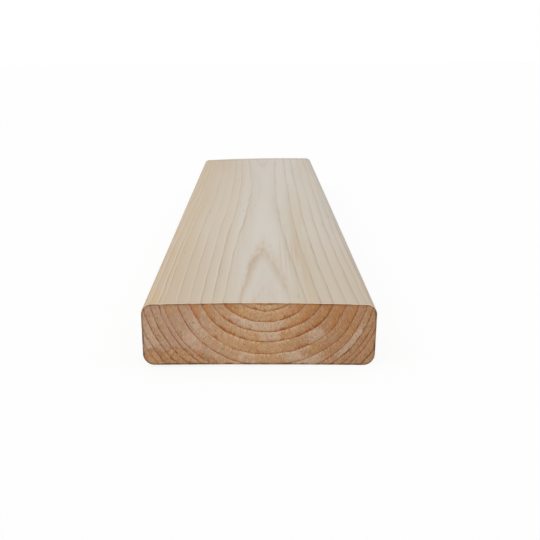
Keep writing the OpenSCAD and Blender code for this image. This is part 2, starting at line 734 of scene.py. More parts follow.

# %% [markdown]
# A plank is carried, stacked and leaned on walls, and its edges show it first. The left edge has
# yellowed under hands, with smudges. A pale strip along its corner is a painted highlight, where
# the rounded edge would catch the light, and a grey strip along the right corner is painted shade.
# The last few centimetres before the far end are a little greyer, and the soft wood of the false
# ring took on a little dirt. Even wear would look painted on, so patches of noise and the streaks
# of the fibres break it up.

# %% Wear, painted highlight and painted shade on the planed faces
FACE_HANDLED = screen(203, 175, 134)
# a painted highlight on the left corner, where the rounded edge would catch the light
FACE_EDGE_HIGHLIGHT = screen(224, 194, 152)
# dark grey for painted shade on the right corner, a greyer far end and dirt in the false ring
FACE_GRIME_AND_SHADE = screen(160, 153, 145)
SMUDGE_SIZE = (12.0, 60.0, 12.0)
SMUDGED = (0.55, 0.72)
SMUDGED_X = (42.0, 62.0)
SMUDGE_SHARE = 0.25
HANDLED = (0.38, 0.62)
HANDLED_PATCHES = (0.35, 1.5)
HANDLED_X = (-46.0, -62.0)
HANDLED_Y = (60.0, -330.0)
HANDLED_SHARES = (0.12, 0.5)
HANDLED_SIDE = 0.5
# where the painted highlight lies along the left corner, and how strong it is
HIGHLIGHT_X = (-63.5, -67.5)
HIGHLIGHT_Y = (100.0, -330.0)
HIGHLIGHT_SHARES = (0.1, 0.45)
CORNER_Z = (27.0, 37.0)
CORNER_STREAKS = (0.4, 1.3)
# where the painted shade on the right corner lies across, and where the far end turns greyer
RIGHT_SHADE_X = (65.5, 69.0)
FAR_END_Y = (415.0, 449.0)
# strength of the painted shade on the right corner, and of the greyer far end
CORNER_SHADE = 0.4
FAR_END_GREYING = 0.32
FALSE_RING_GRIME = 0.2


def face_wear_and_painted_light(colour, position, rings, tubes):
    """The colour with the marks of hands, stacking and weather, a painted highlight and painted shade.
    """
    x, y, z = position.split()
    patches = noise(position.in_units_of(SMUDGE_SIZE), detail=3.0)
    smudges = eased(patches, *SMUDGED) * eased(x.maths("ABSOLUTE"), *SMUDGED_X) * SMUDGE_SHARE
    handled = eased(x, *HANDLED_X) * eased(y, *HANDLED_Y, *HANDLED_SHARES)
    handled *= eased(patches, *HANDLED, *HANDLED_PATCHES)
    # the upper corners, streaked along the fibres, carry the painted highlight and painted shade
    upper_corner = eased(z, *CORNER_Z) * eased(tubes["Coarse"], *MOST_NOISE, *CORNER_STREAKS)
    # painted highlight along the left corner
    highlighted = eased(x, *HIGHLIGHT_X) * eased(y, *HIGHLIGHT_Y, *HIGHLIGHT_SHARES)
    # painted shade along the right corner, plus a greyer far end
    corner_shade_and_far_end = eased(x, *RIGHT_SHADE_X) * upper_corner * CORNER_SHADE + eased(y, *FAR_END_Y) * FAR_END_GREYING
    return layered(
        colour,
        ((handled + smudges) * eased(z, *TOP_Z, HANDLED_SIDE, 1.0), FACE_HANDLED),
        # the painted highlight
        (highlighted * upper_corner, FACE_EDGE_HIGHLIGHT),
        # painted shade on the right corner, greyer far end and dirt in the false ring
        (corner_shade_and_far_end + rings["FalseRing"] * FALSE_RING_GRIME, FACE_GRIME_AND_SHADE),
    )


# the strip placed here is the painted highlight on the left corner
print(f"hands have polished the left corner from {half_width + HIGHLIGHT_X[0]:.1f} mm inside its edge")

# %% [markdown]
# On that ground lie thin soft lines of late wood, each with a brown band inside it and a paler band
# of spring wood outside. The top cuts the youngest rings almost along their length, so their lines
# spread into soft flecked bands that run together in pointed arches. A few streaks of pitch lie
# beside the arch, and here and there a cut resin canal. The far part of the face is more worn, so
# its lines are fainter.

# %% Lines on the planed faces
FACE_EARLY = screen(215, 201, 182)
FACE_LATE_LEFT = screen(196, 177, 152)
FACE_LATE_RIGHT = screen(188, 174, 154)
FACE_SOFT_LINE = screen(188, 164, 138)
FACE_LINE = screen(168, 140, 112)
FACE_CANAL = screen(150, 120, 92)
UNWORN_Y = (150.0, -380.0)
UNWORN_SHARES = (0.55, 1.0)
LATE_FROM_X = (-15.0, 15.0)
LATE_FROM = (0.2, 0.55)
LATE_RIGHT_X = (-15.0, 25.0)
LATE_EDGE_X = (36.0, 52.0)
LATE_SHARE = 0.6
EARLY_BAND = (1.3, 0.3)
EARLY_SHARES = (0.6, 0.15)
YOUNGEST = (28.0, 25.0)
ARCH_X = (-4.0, 12.0)
ARCH_BANDS = (1.6, 3.0)
ARCH_SHARES = (0.6, 0.42)
ARCH_LINE_X = (-4.0, 8.0)
ARCH_LINES = (0.6, 0.2)
FLECK_SIZE = (3.0, 16.0, 3.0)
FLECKS = (0.5, 1.2)
PITCH_X = (12.0, 18.0, 27.0, 36.0)
PITCH_Y = (-410.0, -350.0, -280.0, -180.0)
PITCH_STREAKS = (0.42, 0.6)
PITCH_SHARE = 0.5
FACE_LINE_SHARE = 0.55
MORE_AT_CUT = 0.25
CANAL_SHARE = 0.4


def between(wire, start, full, fading, end):
    """Rises from 0 to 1 between the first two places and falls again between the last two."""
    return eased(wire, start, full) * eased(wire, end, fading)


def face_lines(colour, position, rings, tubes, near_cut):
    """The colour with the growth rings drawn on it."""
    x, y, _ = position.split()
    unworn = eased(y, *UNWORN_Y, *UNWORN_SHARES)
    bold = rings["Bold"] * unworn
    late = eased(rings["Phase"], eased(x, *LATE_FROM_X, *LATE_FROM), 1.0)
    late_colour = layered(
        FACE_LATE_LEFT,
        (eased(x, *LATE_RIGHT_X), FACE_LATE_RIGHT),
        (eased(x, *LATE_EDGE_X), FACE_SOFT_LINE),
    )
    early = eased(rings["FromLine"], *EARLY_BAND) * eased(x, *LATE_RIGHT_X, *EARLY_SHARES)
    youngest = eased(rings["Distance"], *YOUNGEST)
    from_any_line = rings["FromLine"].maths("MINIMUM", rings["ToLine"])
    band_width = eased(x, *ARCH_X, *ARCH_BANDS)
    soft_band = eased(from_any_line, band_width, 0.0) * eased(x, *ARCH_X, *ARCH_SHARES)
    flecks = eased(noise(position.in_units_of(FLECK_SIZE)), *MOST_NOISE, *FLECKS)
    pitch = eased(tubes["Coarse"], *PITCH_STREAKS) * between(x, *PITCH_X) * between(y, *PITCH_Y)
    sharp = eased(rings["Distance"], *YOUNGEST, 1.0, eased(x, *ARCH_LINE_X, *ARCH_LINES))
    line_share = near_cut * MORE_AT_CUT + FACE_LINE_SHARE
    return layered(
        colour,
        (late * bold * LATE_SHARE, late_colour),
        (early * bold, FACE_EARLY),
        (soft_band * flecks * youngest * bold, FACE_SOFT_LINE),
        (pitch * PITCH_SHARE, FACE_SOFT_LINE),
        (rings["Line"] * unworn * sharp * line_share, FACE_LINE),
        (tubes["Canals"] * CANAL_SHARE, FACE_CANAL),
    )


print(f"rings up to {YOUNGEST[1]:.0f} mm from the pith are drawn as soft bands")

# %% [markdown]
# What the saw and the planer did comes last. The saw warmed the last few millimetres before each
# end. Along that edge a painted highlight lies on top, where the rounded edge would catch the
# light, and a dark rim below is partly dirt and partly painted shade. Late wood is harder, so after
# planing and drying it stands a few hundredths of a millimetre proud and shines a little more. The
# planer's turning knives leave a barely seen ripple.

# %% Planed faces
FACE_SCORCH = screen(196, 166, 132)
# painted highlight along the top of the sawn edge
FACE_ARRIS_HIGHLIGHT = screen(226, 211, 187)
# dark rim along the sawn edge, partly dirt and partly painted shade
FACE_RIM_AND_SHADE = screen(120, 84, 58)
FACE_GLOSS = 0.35
FACE_LINE_WIDTH = 1.1
FACE_FIBRE_WIDTH = 0.6
FACE_CANALS_LEFT_OUT = 0.95
SCORCH_FROM_END = (8.0, 1.5)
SCORCH_X = (0.0, -50.0)
SCORCH_SHARES = (0.15, 0.4)
RIM_FROM_END = (1.0, 0.4)
RIM_SHARE = 0.7
DULLER_Y = (-200.0, 350.0)
FACE_LIGHTNESS = (0.945, 0.905)
FACE_STREAKS = 0.05
FACE_ROUGHNESS = 0.56
FACE_FIBRE_ROUGHNESS = 0.12
FACE_LINE_SHINE = 0.10
FACE_LINE_HEIGHT = 0.03
FACE_FIBRE_HEIGHT = 0.05
PLANER_RIPPLE = 1.9
RIPPLE_HEIGHT = 0.002


def planed_face():
    material, shader, position, green_place = new_wood("PlanedFace", FACE_GLOSS)
    rings = placed(growth_rings, Position=position, LineWidth=FACE_LINE_WIDTH)
    tubes = placed(fibres, Position=position, FibreWidth=FACE_FIBRE_WIDTH,
                   CanalsLeftOut=FACE_CANALS_LEFT_OUT)
    soak = soaking_at(position, rings)
    edge = placed(edges, Position=green_place)
    x, y, z = position.split()

    near_cut = eased(edge["ToEnd"], *SCORCH_FROM_END)
    colour = face_ground(position, tubes, soak, edge)
    colour = face_wear_and_painted_light(colour, position, rings, tubes)
    colour = face_lines(colour, position, rings, tubes, near_cut)
    # painted highlight on top of the sawn edge, and below it a dark rim that is partly painted shade
    highlight_and_shaded_rim = mixed(eased(z, *TOP_Z), FACE_RIM_AND_SHADE, FACE_ARRIS_HIGHLIGHT)
    colour = layered(
        colour,
        (near_cut * eased(x, *SCORCH_X, *SCORCH_SHARES), FACE_SCORCH),
        (eased(edge["ToEnd"], *RIM_FROM_END) * RIM_SHARE, highlight_and_shaded_rim),
    )
    streaks = (tubes["Fine"] + tubes["Coarse"]) * FACE_STREAKS
    lightness = streaks + eased(y, *DULLER_Y, *FACE_LIGHTNESS)
    plug(shader.id_data, shaded(colour, lightness), shader.inputs["Base Color"])

    rough = tubes["Fine"] * FACE_FIBRE_ROUGHNESS - rings["Line"] * FACE_LINE_SHINE + FACE_ROUGHNESS
    plug(shader.id_data, rough, shader.inputs["Roughness"])
    ripple = (y * (2 * math.pi / PLANER_RIPPLE)).maths("SINE") * RIPPLE_HEIGHT
    raise_surface(shader, rings["Line"] * FACE_LINE_HEIGHT + tubes["Fine"] * FACE_FIBRE_HEIGHT + ripple)
    return material


face_wood = planed_face()
print("planed face has", len(face_wood.node_tree.nodes), "nodes")

# %% [markdown]
# The sawn ends are darker, because the saw opened the tubes and light sinks into them. Their ground
# goes from a greyish pink to gold and tan, with honey and dry pale years in it and small blotches of
# rose and straw. Damp came in from one lower corner and left a stain right across the rings. A few
# ovals place that stain, and noise frays its front.

# %% Ground of the sawn ends
END_PINK = screen(186, 151, 126)
END_GOLD = screen(194, 154, 115)
END_TAN = screen(178, 133, 96)
END_PALE = screen(204, 178, 154)
END_HONEY = screen(190, 142, 88)
END_ROSE = screen(196, 138, 108)
END_STRAW = screen(180, 150, 102)
END_LATE = screen(172, 120, 82)
END_STAIN = screen(168, 112, 62)
END_LINE = screen(142, 86, 48)
END_DRIFT = 40.0
GOLD_X = (-35.0, -10.0)
END_TAN_X = (5.0, 40.0)
HONEY_TINT = (0.48, 0.3)
HONEY_SHARE = 0.5
DRY_BY_TINT = 2.0
DRY_BY_FRAY = 1.6
DRY_ENOUGH = (0.25, 0.95)
DRY_LEFT_X = (-25.0, -45.0)
DRY_SHARES = (0.8, 0.65)
BLOTCH_SIZE = (3.0, 50.0, 3.0)
ROSE_BLOTCH = (0.5, 0.7)
STRAW_BLOTCH = (0.5, 0.3)
BLOTCH_SHARE = 0.55
END_LATE_PHASE = (0.6, 1.0)
END_LATE_SHARE = 0.35
STAINS = [(-60.0, 2.0, 15.0, 9.0), (-48.0, 4.0, 9.0, 9.0), (-36.0, 1.0, 12.0, 6.0)]  # X, Z, half sizes
STAIN_BORDER = (1.1, 0.75)
STAIN_FRAY = 7.0
STAIN_FRAY_SIZE = (5.0, 80.0, 5.0)
STAIN_BLOTCH = (0.4, 0.6)
STAIN_SHARE = 0.6
STAIN_FRONT_SHARE = 0.4


def stained(position):
    """How far inside the damp stain a point lies, from 0 to 1."""
    x, _, z = position.split()
    fray = (noise(position.in_units_of(STAIN_FRAY_SIZE), detail=4.0) - 0.5) * STAIN_FRAY
    deepest = None
    for stain_x, stain_z, half_wide, half_high in STAINS:
        away_x = (x + fray - stain_x) * (1 / half_wide)
        away_z = (z - fray - stain_z) * (1 / half_high)
        inside = eased(joined(away_x, away_z, 0.0).length(), *STAIN_BORDER)
        deepest = deepest.maths("MAXIMUM", inside) if deepest else inside
    return deepest


def end_ground(position, rings, soak, stain):
    """The colour of a sawn end before resin, fibres and lines."""
    x = position.split()[0]
    drift = x + (soak["Cloud"] - 0.5) * END_DRIFT
    dry = soak["Dry"] + (soak["Tint"] - 0.5) * DRY_BY_TINT + (soak["Fray"] - 0.5) * DRY_BY_FRAY
    blotches = noise(position.in_units_of(BLOTCH_SIZE), detail=2.0)
    stain_colour = mixed(eased(blotches, *STAIN_BLOTCH), END_STAIN, END_HONEY)
    front = stain * (stain * -4.0 + 4.0)  # 1 where the stain is half as strong as it gets
    return layered(
        END_PINK,
        (eased(drift, *GOLD_X), END_GOLD),
        (eased(drift, *END_TAN_X), END_TAN),
        (eased(soak["Tint"], *HONEY_TINT) * HONEY_SHARE, END_HONEY),
        (eased(dry, *DRY_ENOUGH) * eased(x, *DRY_LEFT_X, *DRY_SHARES), END_PALE),
        (eased(blotches, *ROSE_BLOTCH) * BLOTCH_SHARE, END_ROSE),
        (eased(blotches, *STRAW_BLOTCH) * BLOTCH_SHARE, END_STRAW),
        (eased(rings["Phase"], *END_LATE_PHASE) * rings["Bold"] * END_LATE_SHARE, END_LATE),
        (stain * STAIN_SHARE, stain_colour),
        (front * STAIN_FRONT_SHARE, END_LINE),
    )


print("the damp stain is made of", len(STAINS), "ovals")

# %% [markdown]
# Orange resin hugs some of the rings. It fills the pockets, and noise along each ring adds short
# runs of amber to the inner ones. Where the saw met the thickest resin a few spots are darker still,
# and those are listed one by one like the pockets.

# %% Resin on the sawn ends
END_RESIN = screen(184, 126, 74)
END_AMBER = screen(160, 88, 40)
RESIN_SHARE = 0.7
AMBER_RUN = 4.0
AMBER_WITHIN = (56.0, 46.0)
AMBER_RUNS = (0.48, 0.6)
AMBER_DEPTH = 3.6
AMBER_FULL = 0.3
AMBER_SHARE = 0.5
DARK_RUNS = (0.56, 0.64)
DARK_DEPTH = 5.0
DARK_FULL = 0.6
DARK_SHARE = 0.65
SPOT_FULL = 0.5
AMBER_SPOTS = [  # ring, direction from straight down in degrees, half its width, how strong
    (2, 5, 5, 0.6),
    (3, -36, 6, 0.8),
    (3, 16, 7, 0.8),
    (4, -38, 6, 0.9),
    (4, -29, 5, 0.7),
    (4, 35, 6, 0.8),
    (4, 43, 6, 0.9),
]
AMBER_SPOTS_Y = (100.0, -100.0)


def end_resin(colour, position, rings, soak, runs):
    """The colour with resin soaked into it."""
    y = position.split()[1]
    inner = eased(rings["Distance"], *AMBER_WITHIN)
    amber = (eased(runs, *AMBER_RUNS) * inner).maths("MAXIMUM", soak["Resin"])
    amber *= eased(rings["ToLine"], soak["Fray"] * AMBER_DEPTH, AMBER_FULL)
    dark_runs = eased(runs, *DARK_RUNS) * inner
    dark_runs *= eased(rings["ToLine"], soak["Fray"] * DARK_DEPTH, DARK_FULL)
    spots = strongest(rings["Ring"], rings["Angle"], AMBER_SPOTS) * eased(y, *AMBER_SPOTS_Y)
    spots *= eased(rings["ToLine"], soak["Fray"] * DARK_DEPTH, SPOT_FULL)
    return layered(
        colour,
        (soak["Resin"] * RESIN_SHARE, END_RESIN),
        (amber * AMBER_SHARE, END_AMBER),
        (dark_runs * DARK_SHARE, END_AMBER),
        (spots, END_AMBER),
    )


print(len(AMBER_SPOTS), "amber spots set by hand")

# %% [markdown]
# Outside each ring line the open spring wood shows as fine pale strokes that point at the pith, most
# of all right below it. The cut is rough, too: pale specks of broken fibre and dark pits where
# fibres were torn out. Both are noise that is laid out round the rings, so that it turns with them.

# %% Fibres on the sawn ends
END_EARLY = screen(224, 194, 160)
END_SPECK = screen(222, 188, 146)
END_PIT = screen(130, 84, 56)
STROKE_WIDTH = 0.6
STROKE_LENGTH = 2.6
STROKE_BAND = (3.0, 0.3)
STROKES = (0.47, 0.6)
BELOW_PITH = (0.9, 0.4)
BELOW_PITH_SHARES = (0.2, 0.85)
GRAIN_WIDTH = 0.8
GRAIN_LENGTH = 1.15
GRAIN_CHANGE = 0.3
GRAIN_ROUGHNESS = 0.6
SPECKS = (0.54, 0.74)
SPECK_SHARE = 0.55
MORE_IN_STAIN = 0.25
PITS = (0.45, 0.25)
PIT_SHARE = 0.6


def ring_noise(rings, width, length, third=0.0, roughness=0.5):
    """Noise with clouds this wide along a ring and this long across it."""
    along_ring = rings["Angle"] * rings["Distance"] * (1 / width)
    return noise(joined(along_ring, rings["Distance"] * (1 / length), third), roughness=roughness)


def end_fibres(colour, position, rings, strokes, stain):
    """The colour with cut and torn fibres."""
    x = position.split()[0]
    below_pith = eased(rings["Angle"].maths("ABSOLUTE"), *BELOW_PITH, *BELOW_PITH_SHARES)
    early = eased(rings["FromLine"], *STROKE_BAND) * eased(strokes, *STROKES) * below_pith
    grain = ring_noise(rings, GRAIN_WIDTH, GRAIN_LENGTH, x * GRAIN_CHANGE, GRAIN_ROUGHNESS)
    return layered(
        colour,
        (early, END_EARLY),
        (eased(grain, *SPECKS) * (stain * MORE_IN_STAIN + SPECK_SHARE), END_SPECK),
        (eased(grain, *PITS) * PIT_SHARE, END_PIT),
    )


print(f"cut fibres are drawn in strokes {STROKE_LENGTH} mm long")

# %% [markdown]
# The rings stand out on the ends as brown arcs, reddish to the left and darker to the right. They
# are thinner on the left, where the years grew closer together, and torn fibres break them up. Cut
# resin canals are small dark dots in the late wood.

# %% Lines on the sawn ends
END_RED_LINE = screen(120, 50, 44)
END_DARK_LINE = screen(118, 68, 46)
END_CANAL = screen(112, 68, 42)
# dark rim colour, partly saw burn and partly painted shade; it also marks torn fibres on the lines
END_RIM_AND_SHADE = screen(72, 44, 30)
RED_LINE_X = (-25.0, -55.0)
DARK_LINE_X = (15.0, 55.0)
LINE_RUNS = (0.35, 0.62)
LINE_SHARES = (0.38, 0.85)
TORN = (0.56, 0.7)
TORN_SHARE = 0.6
TICK_WIDTH = 0.9
TICK_LENGTH = 2.2
TICK_START = 20.0
TICKS = (0.63, 0.73)
DOT_PHASE = (0.2, 0.5)
DOT_SHARE = 0.6


def end_lines(colour, position, rings, tubes, strokes, runs):
    """The colour with the growth rings and resin canals drawn on it."""
    x = position.split()[0]
    line_colour = layered(
        END_LINE,
        (eased(x, *RED_LINE_X), END_RED_LINE),
        (eased(x, *DARK_LINE_X), END_DARK_LINE),
    )
    ticks = ring_noise(rings, TICK_WIDTH, TICK_LENGTH, TICK_START)
    dots = eased(ticks, *TICKS).maths("MAXIMUM", tubes["Canals"])
    return layered(
        colour,
        (rings["Line"] * eased(runs, *LINE_RUNS, *LINE_SHARES), line_colour),
        (rings["Line"] * eased(strokes, *TORN) * TORN_SHARE, END_RIM_AND_SHADE),
        (dots * eased(rings["Phase"], *DOT_PHASE) * DOT_SHARE, END_CANAL),
    )


print(f"resin canals are drawn as dots {TICK_WIDTH} mm wide")

# %% [markdown]
# Last come the marks of the saw: a thin dark rim, scorched in patches, and faint arcs from the
# blade. The rim is partly painted shade, so it is weaker along the top. The uppermost few
# millimetres are a little darker. Torn fibres scatter the light, so the ends hardly shine.

# %% Sawn ends
END_GLOSS = 0.2
END_LINE_X = (-20.0, -45.0)
END_LINE_WIDTHS = (0.7, 0.52)
END_FIBRE_WIDTH = 0.75
END_CANALS_LEFT_OUT = 0.72
# the uppermost few millimetres of the end are a little darker
TOP_BAND_Z = (34.5, 38.5)
TOP_BAND_SHARE = 0.3
RIM_PATCH = (7.0, 30.0, 7.0)
RIM_PATCHES = (0.25, 0.85)
RIM_DEPTH = (1.6, 0.5)
RIM_Z = (37.0, 32.0)
RIM_TOP = 0.6
DULL_RIGHT_X = (0.0, 66.0)
DULL_RIGHT = (0.8, 0.72)
DULL_LEFT_X = (-40.0, -60.0)
DULL_LEFT = 0.035
END_STREAKS = 0.4
END_ROUGHNESS = 0.72
END_FIBRE_ROUGHNESS = 0.15
END_FIBRE_HEIGHT = 0.22
END_LINE_HEIGHT = 0.06
BLADE_CENTRE_X = 260.0
BLADE_CENTRE_Z = -190.0
BLADE_MARK = 0.7
BLADE_MARK_HEIGHT = 0.05


def sawn_end():
    material, shader, position, green_place = new_wood("SawnEnd", END_GLOSS)
    x, _, z = position.split()
    line_width = eased(x, *END_LINE_X, *END_LINE_WIDTHS)
    rings = placed(growth_rings, Position=position, LineWidth=line_width)
    tubes = placed(fibres, Position=position, FibreWidth=END_FIBRE_WIDTH,
                   CanalsLeftOut=END_CANALS_LEFT_OUT)
    soak = soaking_at(position, rings)
    edge = placed(edges, Position=green_place)

    along_ring = rings["Angle"] * rings["Distance"] * (1 / AMBER_RUN)
    runs = noise(joined(along_ring, rings["Ring"] * RING_STEP, 0.0), detail=3.0)
    strokes = ring_noise(rings, STROKE_WIDTH, STROKE_LENGTH)
    stain = stained(position)
    colour = end_ground(position, rings, soak, stain)
    colour = end_resin(colour, position, rings, soak, runs)
    colour = end_fibres(colour, position, rings, strokes, stain)
    colour = end_lines(colour, position, rings, tubes, strokes, runs)
    # the dark rim round the end, scorched in patches and partly painted shade, weaker along the top
    burn_and_shade = eased(noise(position.in_units_of(RIM_PATCH)), *MOST_NOISE, *RIM_PATCHES)
    burn_and_shade *= eased(z, *RIM_Z, RIM_TOP, 1.0) * eased(edge["ToOutline"], *RIM_DEPTH)
    colour = layered(colour, (eased(z, *TOP_BAND_Z) * TOP_BAND_SHARE, END_STAIN), (burn_and_shade, END_RIM_AND_SHADE))
    # the end is darker towards the right and a little darker towards the left
    darker_to_sides = eased(x, *DULL_RIGHT_X, *DULL_RIGHT) - eased(x, *DULL_LEFT_X, 0.0, DULL_LEFT)
    lightness = tubes["Coarse"] * END_STREAKS + darker_to_sides
    plug(shader.id_data, shaded(colour, lightness), shader.inputs["Base Color"])

    rough = tubes["Fine"] * END_FIBRE_ROUGHNESS + END_ROUGHNESS
    plug(shader.id_data, rough, shader.inputs["Roughness"])
    from_blade = joined(x - BLADE_CENTRE_X, z - BLADE_CENTRE_Z, 0.0).length()
    marks = noise(joined(from_blade * (1 / BLADE_MARK), 0.0, 0.0), detail=2.0) * BLADE_MARK_HEIGHT
    raise_surface(shader, tubes["Fine"] * END_FIBRE_HEIGHT + rings["Line"] * END_LINE_HEIGHT + marks)
    return material


end_wood = sawn_end()
print("sawn end has", len(end_wood.node_tree.nodes), "nodes")

# %% [markdown]
# Now the plank itself. A bevelled box would give the outline, but not the small shapes that drying
# gives a real plank, so the mesh is a grid that follows the section. The outline is taken in four
# runs, each from the middle of one rounded corner to the middle of the next, so that every cap can
# be a plain grid of columns and rows between them.

# %% The section's outline
COLUMNS = 196
ROWS = 52
ARC_STEPS = 24


def corner_arc(side, level, radius, start):
    """Points on one rounded corner and the ways that they face, anticlockwise."""
    centre = np.array([side * (half_width - radius), thickness / 2 + level * (thickness / 2 - radius)])
    turn = np.radians(np.linspace(start, start + 90, 2 * ARC_STEPS + 1))
    facing = np.stack([np.cos(turn), np.sin(turn)], axis=1)
    return np.hstack([centre + radius * facing, facing])


def evenly(run, pieces):
    """A run of outline points, taken again at even steps along it, without the last."""
    steps = np.linalg.norm(np.diff(run[:, :2], axis=0), axis=1)
    length = np.concatenate([[0.0], np.cumsum(steps)])
    wanted = np.linspace(0.0, length[-1], pieces + 1)[:-1]
    return np.stack([np.interp(wanted, length, column) for column in run.T], axis=1)


arcs = [corner_arc(1, 1, upper_radius, 0), corner_arc(-1, 1, upper_radius, 90),
        corner_arc(-1, -1, lower_radius, 180), corner_arc(1, -1, lower_radius, 270)]
runs = []
for number, arc in enumerate(arcs):
    run = np.vstack([arc[ARC_STEPS:], arcs[(number + 1) % 4][:ARC_STEPS + 1]])
    runs.append(evenly(run, ROWS if number % 2 else COLUMNS))
loop = np.vstack(runs)
outline = loop[:, :2]
outline_facing = loop[:, 2:] / np.linalg.norm(loop[:, 2:], axis=1, keepdims=True)
around = len(outline)
print(around, "points round the section")

# %% [markdown]
# Along the plank, sections stand close together at the ends, where the sawn edge is rounded off
# by less than half a millimetre, and further apart between them. The saw leaves that small edge
# uneven, so its radius changes from place to place round the section. The unevenness is drawn
# with a fixed seed, so every run gives the same plank.

# %% Stations along the grain
SAWN_EDGE = 0.28
SAWN_EDGE_LEAST = 0.4
SAWN_EDGE_CHANGE = 1.2
SAWN_EDGE_STEPS = 4
SAWN_EDGE_SEED = 7
EVENED_OVER = 4
CLOSE_STATIONS = [1.4, 3.0, 6.0]
STATIONS_BETWEEN = 86

draws = np.random.default_rng(SAWN_EDGE_SEED).uniform(0.0, 1.0, around)
window = np.hanning(2 * EVENED_OVER + 1)
spread = np.concatenate([draws[-EVENED_OVER:], draws, draws[:EVENED_OVER]])
evened = np.convolve(spread, window / window.sum(), mode="valid")
sawn_edge = SAWN_EDGE * (SAWN_EDGE_LEAST + SAWN_EDGE_CHANGE * evened)

insets = []
alongs = []
for step in range(SAWN_EDGE_STEPS + 1):
    turn = 0.5 * math.pi * step / SAWN_EDGE_STEPS
    insets.append(sawn_edge * (1 - math.sin(turn)))
    alongs.append(sawn_edge * (1 - math.cos(turn)) - half_length)
for offset in CLOSE_STATIONS:
    insets.append(np.zeros(around))
    alongs.append(np.full(around, offset - half_length))
middle = np.linspace(-1.0, 1.0, STATIONS_BETWEEN + 2)[1:-1] * (half_length - CLOSE_STATIONS[-1])
insets = insets + [np.zeros(around)] * STATIONS_BETWEEN + insets[::-1]
alongs = alongs + [np.full(around, place) for place in middle] + [-a for a in alongs[::-1]]
stations = len(insets)
print(stations, "stations along the grain")

# %% [markdown]
# Each cap is a grid filled in from its rim: every inside point is a weighted mean of the rim
# points in its row and column, which keeps the cells even right into the rounded corners.


# %% Fill the caps
def rim_runs(values):
    """The bottom, top, left and right runs of a loop, each from its low end to its high one."""
    closed = np.concatenate([values, values[:1]])
    marks = np.cumsum([0, COLUMNS, ROWS, COLUMNS, ROWS])
    top, left, bottom, right = (closed[a:b + 1] for a, b in zip(marks, marks[1:]))
    return bottom, top[::-1], left[::-1], right


def filled(rim):
    """A grid of points, rows from the bottom up, inside a loop of rim points."""
    bottom, top, left, right = rim_runs(rim)
    u = np.linspace(0.0, 1.0, COLUMNS + 1)[None, :, None]
    v = np.linspace(0.0, 1.0, ROWS + 1)[:, None, None]
    sides = (1 - v) * bottom[None] + v * top[None] + (1 - u) * left[:, None] + u * right[:, None]
    corners = ((1 - u) * (1 - v) * bottom[0] + u * (1 - v) * bottom[-1]
               + (1 - u) * v * top[0] + u * v * top[-1])
    return sides - corners


def cap_numbers(rim_numbers, first_inside):
    """The vertex number at each place of a cap's grid."""
    numbers = np.zeros((ROWS + 1, COLUMNS + 1), int)
    numbers[0], numbers[-1], numbers[:, 0], numbers[:, -1] = rim_runs(rim_numbers)
    inside = (ROWS - 1) * (COLUMNS - 1)
    numbers[1:-1, 1:-1] = first_inside + np.arange(inside).reshape(ROWS - 1, COLUMNS - 1)
    return numbers


wrap = np.concatenate([
    np.stack([flat[:, 0], along, flat[:, 1]], axis=1)
    for flat, along in ((outline - outline_facing * inset[:, None], along)
                        for inset, along in zip(insets, alongs))
])
wrap_facing = np.tile(np.stack([outline_facing[:, 0], np.zeros(around), outline_facing[:, 1]], axis=1),
                      (stations, 1))
caps = []
for station, side in ((0, -1), (stations - 1, 1)):
    rim = wrap[station * around:(station + 1) * around]
    inside = filled(rim)[1:-1, 1:-1].reshape(-1, 3)
    caps.append((inside, np.tile([0.0, side, 0.0], (len(inside), 1))))
points = np.vstack([wrap, caps[0][0], caps[1][0]])
facing = np.vstack([wrap_facing, caps[0][1], caps[1][1]])
print(len(points), "points")

# %% [markdown]
# A sawn plank is never quite true once it has dried. Wood shrinks most along its rings, so the
# face nearest the pith crowns, the other one hollows, the narrow edges lean in below, and the
# whole length winds a little, which lifts two opposite corners off the floor by about a
# millimetre. These are small moves of the grid, each with its own named size.

# %% Dry the plank
CROWN = 1.0
HOLLOW = 0.3
LEAN = 1.3
WIND = math.radians(1.2)


def dried(points):
    """The points of a true plank, moved as drying moves them."""
    x, y, z = points.T
    level = z / thickness
    crowned = z - level * CROWN * (x / upper_reach) ** 2
    hollowed = crowned + (1 - level) * HOLLOW * np.clip(1 - (x / lower_reach) ** 2, 0.0, None)
    leaning = x * (1 - LEAN / half_width * (1 - level))
    turn = 0.5 * WIND * y / half_length
    lift = lower_reach * math.sin(0.5 * WIND)
    return np.stack([leaning * np.cos(turn) - hollowed * np.sin(turn), y,
                     leaning * np.sin(turn) + hollowed * np.cos(turn) + lift], axis=1)


green_points = points
points = dried(green_points)
print("dried plank reaches", np.round(points.min(axis=0), 2), np.round(points.max(axis=0), 2))

# %% [markdown]
# Late wood stands slightly proud of the softer spring wood, on the planed faces and more so on
# the sawn ends. The relief follows the same ring sums as the colour, so ridge and line agree.

# %% Raise the late wood
FACE_RELIEF = 0.04
END_RELIEF = 0.12
RIDGE_AT = 0.93

phase = ring_year(*points.T) % 1.0
ridge = (0.5 + 0.5 * np.cos(2 * np.pi * (phase - RIDGE_AT))) ** 2
relief = np.where(np.abs(facing[:, 1]) > 0.5, END_RELIEF, FACE_RELIEF)
points = points + facing * ((ridge - 1.0) * relief)[:, None]
print("relief of", FACE_RELIEF, "mm on the faces and", END_RELIEF, "mm on the ends")

# %% [markdown]
# The grid becomes a mesh: a wall of quads round the section from station to station, and a quad
# grid on each end. The wall takes the planed material and the ends take the sawn one, and every
# point carries its green place along for the edge group.

